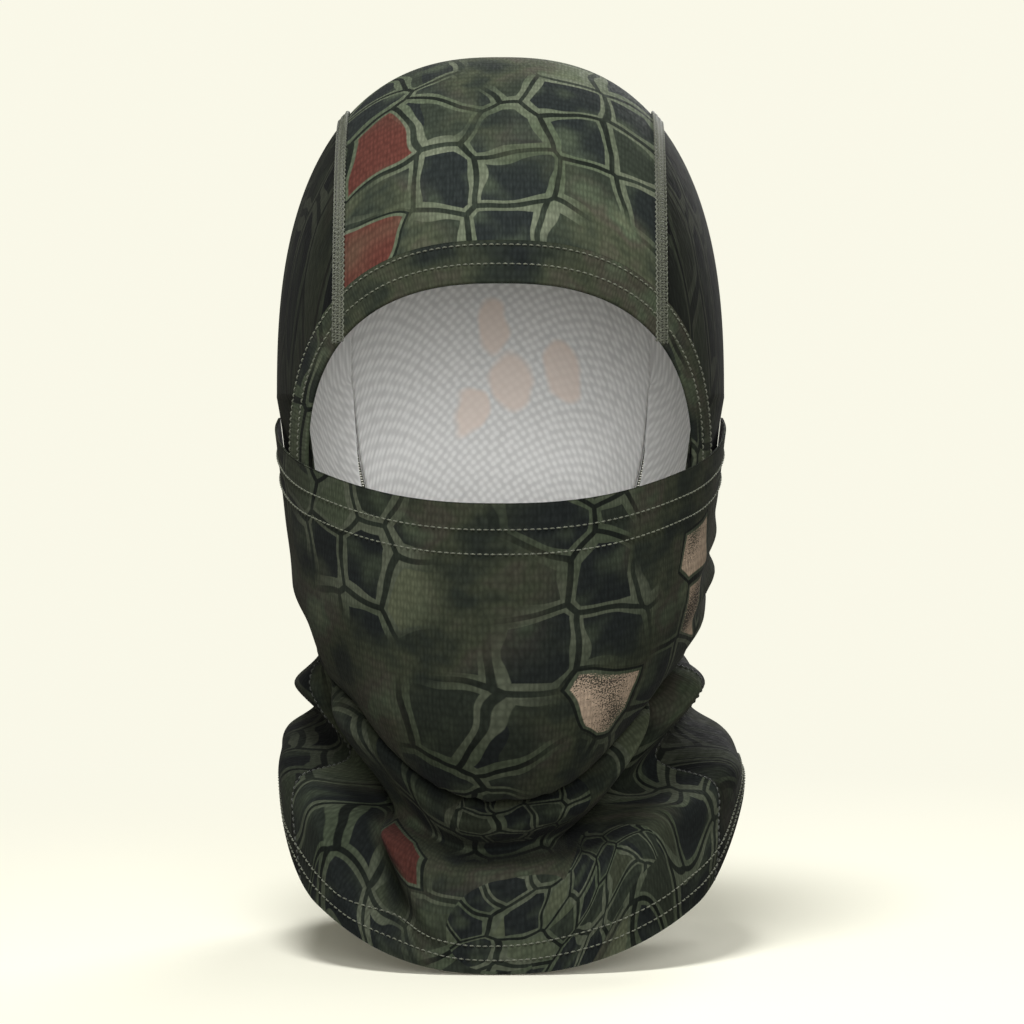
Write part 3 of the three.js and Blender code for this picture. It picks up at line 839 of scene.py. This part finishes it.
def face_hem():
    """The face opening's hem: the edge turned under, from foot to foot over the brow."""
    across_share, along = grid(26, 320)
    turned = across_share * (FACE_HEM + HEM_UNDER) - HEM_UNDER
    across = np.abs(turned)
    lift = np.where(turned < 0, -0.7, 0.75) * np.clip(across, 0, 1) ** 0.5
    lift = lift * np.where(turned > FACE_HEM - 1.0, 0.55, 1.0)
    points = face_edge(along, across)
    normal = normals_of(face_edge(along, across_share * FACE_HEM))
    centre = np.array([0, 0, EAR])
    sign = np.sign(np.sum(normal * (points - centre), -1, keepdims=True))
    points = points + normal * sign * (lift[..., None] + 0.3)
    uv = np.stack([(along - 0.5) * 330, turned + 40.0], -1)
    return cloth("face_opening_hem_cloth", points, uv, shaded_hem_print, inside, thick=0.5)


hem = face_hem()


def row_on_face(across):
    return Run(lambda t, side=0.0: face_edge(t, across + side))


def row_on_front(distance):
    """A line a fixed distance below the mask's edge."""
    level_of = distance / MASK_STATION
    return Run(lambda t, side=0.0: front_point(2 * t - 1, np.full_like(t, level_of + side * 0.02)))


def row_on_collar(distance):
    """A closed line a fixed distance above the collar's edge."""
    def line(t, side=0.0):
        turn = t * 360.0 - 180.0
        level = LAST - distance / COLLAR_STATION + side * 0.02
        return station(turn, np.full_like(t, level))
    return Run(line, samples=1200)


def seam_down(side):
    """The crown seam's line: from the face opening over the crown and down the back to the collar."""
    front = float(hood_front_angle(np.array(SEAM_X), brow_height(SEAM_X, 0.5)))

    def line(t, beside=0.0):
        over = np.clip(t / OVER_HOOD, 0, 1)
        dome = hood_point(np.full_like(t, side * SEAM_X) + beside, front + (math.pi - front) * over)
        level = np.clip((t - OVER_HOOD) / 0.4, 0, 1) * LAST
        back = station(side * back_seam(level) - beside * 0.4, level, True)
        return np.where((t < OVER_HOOD)[:, None], dome, back)
    return Run(line, samples=1600)


def side_seam_line(side):
    def line(t, beside=0.0):
        level = t * LAST
        return station(side * side_seam(level) + beside * 0.6, level)
    return Run(line, samples=900)


left_seam = flat_seam("left_crown_flat_seam", seam_down(1), 1.1, seam_thread)
right_seam = flat_seam("right_crown_flat_seam", seam_down(-1), 1.1, seam_thread)
face_rows = [stitches(f"face_hem_stitches_{i}", row_on_face(across), 1.15, stitch_thread)
             for i, across in enumerate(FACE_ROWS, 1)]
mask_rows = [stitches(f"mask_hem_stitches_{i}", row_on_front(distance), 0.15, stitch_thread)
             for i, distance in enumerate(MASK_ROWS, 1)]
collar_rows = [stitches(f"collar_hem_stitches_{i}", row_on_collar(distance), 0.15, stitch_thread)
               for i, distance in enumerate(COLLAR_ROWS, 1)]
side_seams = [stitches(f"{word}_side_seam_thread", side_seam_line(side), 0.0, hidden_thread)
              for word, side in (("left", 1), ("right", -1))]


# ---- pieces baked in place, the collar and side seam threads put on the neck, and the CAD parts they stand for hidden ----

def on_hood(piece):
    """Bakes the place of cloth that reaches from the neck to the hood into its mesh."""
    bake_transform(piece)


def on_mask(piece):
    """Bakes the place of the front cloth, between throat and mask, into its mesh."""
    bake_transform(piece)


for piece, nodes, slot in (
    (crown, ("crown_panel", "back_panel"), "camo_fabric"),
    (left_side, ("left_side_panel", "left_neck_panel"), "camo_fabric"),
    (right_side, ("right_side_panel", "right_neck_panel"), "camo_fabric"),
    (hem, ("face_opening_hem",), "hem_fabric"),
    (left_seam, ("left_crown_seam", "left_back_seam"), "thread"),
    (right_seam, ("right_crown_seam", "right_back_seam"), "thread"),
    (face_rows[0], ("face_hem_stitch_inner",), "thread"),
    (face_rows[1], ("face_hem_stitch_outer",), "thread"),
):
    on_hood(piece)
    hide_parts(*nodes)

for piece, nodes, slot in (
    (front, ("mask_panel", "mask_top_hem", "throat_panel"), "camo_fabric"),
    (mask_rows[0], ("mask_hem_stitch_upper",), "thread"),
    (mask_rows[1], ("mask_hem_stitch_lower",), "thread"),
):
    on_mask(piece)
    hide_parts(*nodes)

for piece, nodes in (
    (collar_rows[0], ("collar_hem", "collar_hem_stitch_lower")),
    (collar_rows[1], ("collar_hem_stitch_upper",)),
    (side_seams[0], ("left_side_seam",)),
    (side_seams[1], ("right_side_seam",)),
):
    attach(piece, "neck")
    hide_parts(*nodes)


# ---- floor, light and camera ----

PALE = (0.955, 0.94, 0.81)
AMBIENT = 0.24                                      # how much the background lights the cloth
LENS = 200.0                                        # focal length in mm
CAMERA_RISE = 3.0                                   # degrees above level
AIM_LEFT = 0.0045                                   # metres from the middle to where the camera aims
AIM_HEIGHT = 0.487                                  # height of that place as a share of the object's
FRAME_TALL = 1.155                                  # height of the picture in object heights
MIDDLE = (0, 0, 0.19)                               # where the lamps aim


def studio():
    """A pale floor that runs into an equally pale background, which lights the cloth less than it shows."""
    scene = bpy.context.scene
    scene.view_settings.view_transform = "Standard"
    world = bpy.data.worlds.new("studio")
    scene.world = world
    world.use_nodes = True
    tree = world.node_tree
    background = tree.nodes["Background"]
    background.inputs[0].default_value = (*PALE, 1.0)
    path = tree.nodes.new("ShaderNodeLightPath")
    strength = tree.nodes.new("ShaderNodeMapRange")
    strength.inputs["To Min"].default_value = AMBIENT
    strength.inputs["To Max"].default_value = 1.0
    tree.links.new(path.outputs["Is Camera Ray"], strength.inputs["Value"])
    tree.links.new(strength.outputs[0], background.inputs[1])

    n = Nodes("pale_floor")
    seen_by_camera = n.node("ShaderNodeLightPath").outputs["Is Camera Ray"]
    n.put(n.shader.inputs["Base Color"], n.mix(seen_by_camera, (0.30, 0.29, 0.26), PALE))
    n.shader.inputs["Roughness"].default_value = 0.9
    n.shader.inputs["Specular IOR Level"].default_value = 0.1
    glow = n.node("ShaderNodeEmission")
    n.put(glow.inputs["Color"], PALE)
    place = n.node("ShaderNodeTexCoord").outputs["Object"]
    far = n.span(n.vector("LENGTH", place), 0.12, 0.75)
    seen = n.math("MULTIPLY", far, seen_by_camera)
    blend = n.node("ShaderNodeMixShader")
    n.put(blend.inputs[0], seen)
    n.tree.links.new(n.shader.outputs[0], blend.inputs[1])
    n.tree.links.new(glow.outputs[0], blend.inputs[2])
    n.tree.links.new(blend.outputs[0], n.tree.nodes["Material Output"].inputs[0])
    bpy.ops.mesh.primitive_plane_add(size=60, location=(0, 0, -0.0005))
    floor = bpy.context.object
    floor.name = "floor"
    floor.data.materials.append(n.material)


def lamp(name, place, aim, size, power):
    data = bpy.data.lights.new(name, "AREA")
    data.shape = "DISK"
    data.size = size
    data.energy = power
    made = bpy.data.objects.new(name, data)
    bpy.context.scene.collection.objects.link(made)
    made.location = place
    made.rotation_euler = (Vector(aim) - Vector(place)).to_track_quat("-Z", "Y").to_euler()


def camera():
    """A long lens in front, slightly above level, aimed a little to the wearer's left."""
    low, high = cad_bounds
    tall = high.z - low.z
    elevation = math.radians(CAMERA_RISE)
    centre = Vector((AIM_LEFT, 0.0, low.z + AIM_HEIGHT * tall))
    data = bpy.data.cameras.new("camera")
    data.lens = LENS
    data.clip_end = 100
    made = bpy.data.objects.new("camera", data)
    bpy.context.scene.collection.objects.link(made)
    away = FRAME_TALL * tall * LENS / data.sensor_width
    back = Vector((0, -math.cos(elevation), math.sin(elevation)))
    made.location = centre + back * away
    made.rotation_euler = (-back).to_track_quat("-Z", "Y").to_euler()
    bpy.context.scene.camera = made


studio()
lamp("front_fill", (0.1, -1.8, 0.50), MIDDLE, 0.8, 19)
lamp("key", (-0.2, -0.8, 1.75), MIDDLE, 0.6, 26)
lamp("back_fill", (0.6, 1.4, 1.0), MIDDLE, 0.9, 14)
camera()
